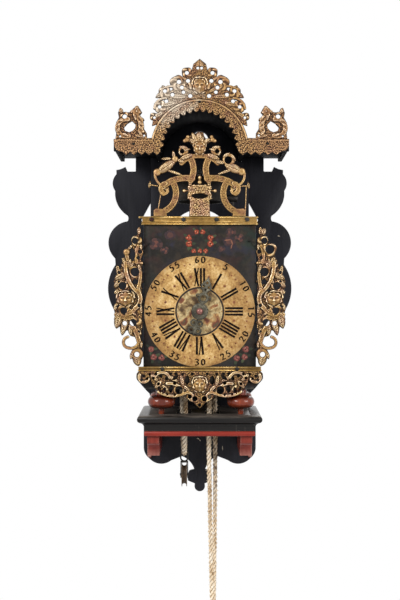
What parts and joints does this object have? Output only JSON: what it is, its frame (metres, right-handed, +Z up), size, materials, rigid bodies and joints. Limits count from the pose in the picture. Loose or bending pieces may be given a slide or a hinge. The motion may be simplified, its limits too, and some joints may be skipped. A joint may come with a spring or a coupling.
{
  "type": "chair clock",
  "caption": "Bracket wall clock on a lobed black back-board, with an arched hood, gilt frets, a round painted dial, a shelf, a striking bell and a rope drive.",
  "frame": {"origin": "centre of the hanging hole at the back-board's wall face", "axes": "+X to the viewer's right, +Y to the wall, +Z up; the dial faces -Y"},
  "size_m": [0.321, 0.1937, 0.9571],
  "materials": {
    "black_wood": "matte",
    "red_wood": "satin",
    "polished_wood": "gloss",
    "turned_wood": "satin",
    "gilt": "aged gilt casting",
    "brass": "satin",
    "bell_metal": "dark patina",
    "iron": "satin",
    "painted_dial": "aged paint",
    "pewter": "dull grey",
    "copper": "satin",
    "rope": "matte",
    "lead": "dull grey"
  },
  "bodies": {
    "case": {"back_plank": "black_wood", "left_wing": "black_wood", "right_wing": "black_wood", "hood_vault": "black_wood", "left_hood_eave": "black_wood", "right_hood_eave": "black_wood", "left_hood_side": "black_wood", "right_hood_side": "black_wood", "hood_front_board": "black_wood", "hood_band": "gilt", "hood_crest": "gilt", "left_beast": "gilt", "right_beast": "gilt", "shelf_board": "black_wood", "shelf_moulding": "black_wood", "shelf_bead": "red_wood", "left_bracket": "red_wood", "right_bracket": "red_wood", "bun_feet": "polished_wood", "corner_posts": "iron", "bottom_plate": "iron", "top_plate": "iron", "front_bar": "iron", "middle_bar": "iron", "rear_bar": "iron", "pendulum_cock": "iron", "bell": "bell_metal", "bell_stand": "iron", "dial_plate": "painted_dial", "top_strip": "brass", "bottom_strip": "brass", "dial_screws": "iron", "top_fret": "gilt", "left_fret": "gilt", "right_fret": "gilt", "bottom_fret": "gilt", "left_rope": "rope", "right_rope": "rope", "counterweight_ring": "lead"},
    "going_great": {"going_great_wheel": "brass", "going_pulley": "turned_wood"},
    "going_second": {"second_wheel": "brass"},
    "going_third": {"third_wheel": "brass"},
    "going_escape": {"escape_wheel": "brass"},
    "hand_work": {"hour_wheel": "brass", "hour_hand": "pewter", "hand_cap": "copper"},
    "anchor": {"anchor": "iron"},
    "pendulum": {"pendulum_rod": "iron", "pendulum_bob": "brass"},
    "strike_great": {"strike_great_wheel": "brass", "strike_pulley": "turned_wood"},
    "strike_second": {"strike_second_wheel": "brass"},
    "strike_fly": {"strike_fly": "brass"},
    "hammer": {"hammer": "iron"},
    "left_door": {"left_door": "iron"},
    "right_door": {"right_door": "iron"},
    "pulley_block": {"pulley_yoke": "iron"},
    "sheave": {"pulley_sheave": "turned_wood"}
  },
  "joints": [
    {"name": "going_great_turn", "type": "hinge", "parent": "case", "child": "going_great", "pos_m": [-0.003, -0.14, -0.366], "axis": [0, 1, 0], "continuous": true},
    {"name": "going_second_turn", "type": "hinge", "parent": "case", "child": "going_second", "pos_m": [0.027, -0.14, -0.32292], "axis": [0, 1, 0], "continuous": true},
    {"name": "going_third_turn", "type": "hinge", "parent": "case", "child": "going_third", "pos_m": [0.003, -0.14, -0.28845], "axis": [0, 1, 0], "continuous": true},
    {"name": "going_escape_turn", "type": "hinge", "parent": "case", "child": "going_escape", "pos_m": [0, -0.14, -0.25619], "axis": [0, 1, 0], "continuous": true},
    {"name": "hand_turn", "type": "hinge", "parent": "case", "child": "hand_work", "pos_m": [0, -0.14, -0.299], "axis": [0, 1, 0], "continuous": true},
    {"name": "pendulum_swing", "type": "hinge", "parent": "case", "child": "pendulum", "pos_m": [0, -0.14, -0.22619], "axis": [0, 1, 0], "range_deg": [-4, 4]},
    {"name": "anchor_rock", "type": "hinge", "parent": "case", "child": "anchor", "pos_m": [0, -0.14, -0.22619], "axis": [0, 1, 0], "range_deg": [-4, 4]},
    {"name": "strike_great_turn", "type": "hinge", "parent": "case", "child": "strike_great", "pos_m": [-0.003, -0.14, -0.366], "axis": [0, 1, 0], "continuous": true},
    {"name": "strike_second_turn", "type": "hinge", "parent": "case", "child": "strike_second", "pos_m": [-0.033, -0.14, -0.32292], "axis": [0, 1, 0], "continuous": true},
    {"name": "fly_turn", "type": "hinge", "parent": "case", "child": "strike_fly", "pos_m": [-0.008, -0.14, -0.30231], "axis": [0, 1, 0], "continuous": true},
    {"name": "hammer_lift", "type": "hinge", "parent": "case", "child": "hammer", "pos_m": [0.058, -0.14, -0.336], "axis": [0, 1, 0], "range_deg": [0, 4]},
    {"name": "left_door_swing", "type": "hinge", "parent": "case", "child": "left_door", "pos_m": [-0.0835, -0.056, -0.293], "axis": [0, 0, -1], "range_deg": [0, 100]},
    {"name": "right_door_swing", "type": "hinge", "parent": "case", "child": "right_door", "pos_m": [0.0835, -0.056, -0.293], "axis": [0, 0, 1], "range_deg": [0, 100]},
    {"name": "block_swing", "type": "hinge", "parent": "case", "child": "pulley_block", "pos_m": [-0.0255, -0.114, -0.5349], "axis": [0, 1, 0], "range_deg": [-20, 20]},
    {"name": "sheave_turn", "type": "hinge", "parent": "pulley_block", "child": "sheave", "pos_m": [-0.0255, -0.114, -0.57], "axis": [1, 0, 0], "continuous": true}
  ],
  "couplings": [
    {"joint": "going_second_turn", "follows": "going_great_turn", "ratio": -6},
    {"joint": "going_third_turn", "follows": "going_great_turn", "ratio": 36},
    {"joint": "going_escape_turn", "follows": "going_great_turn", "ratio": -180},
    {"joint": "hand_turn", "follows": "going_great_turn", "ratio": -0.16667},
    {"joint": "anchor_rock", "follows": "pendulum_swing", "ratio": 1},
    {"joint": "strike_second_turn", "follows": "strike_great_turn", "ratio": -6},
    {"joint": "fly_turn", "follows": "strike_great_turn", "ratio": 30}
  ]
}
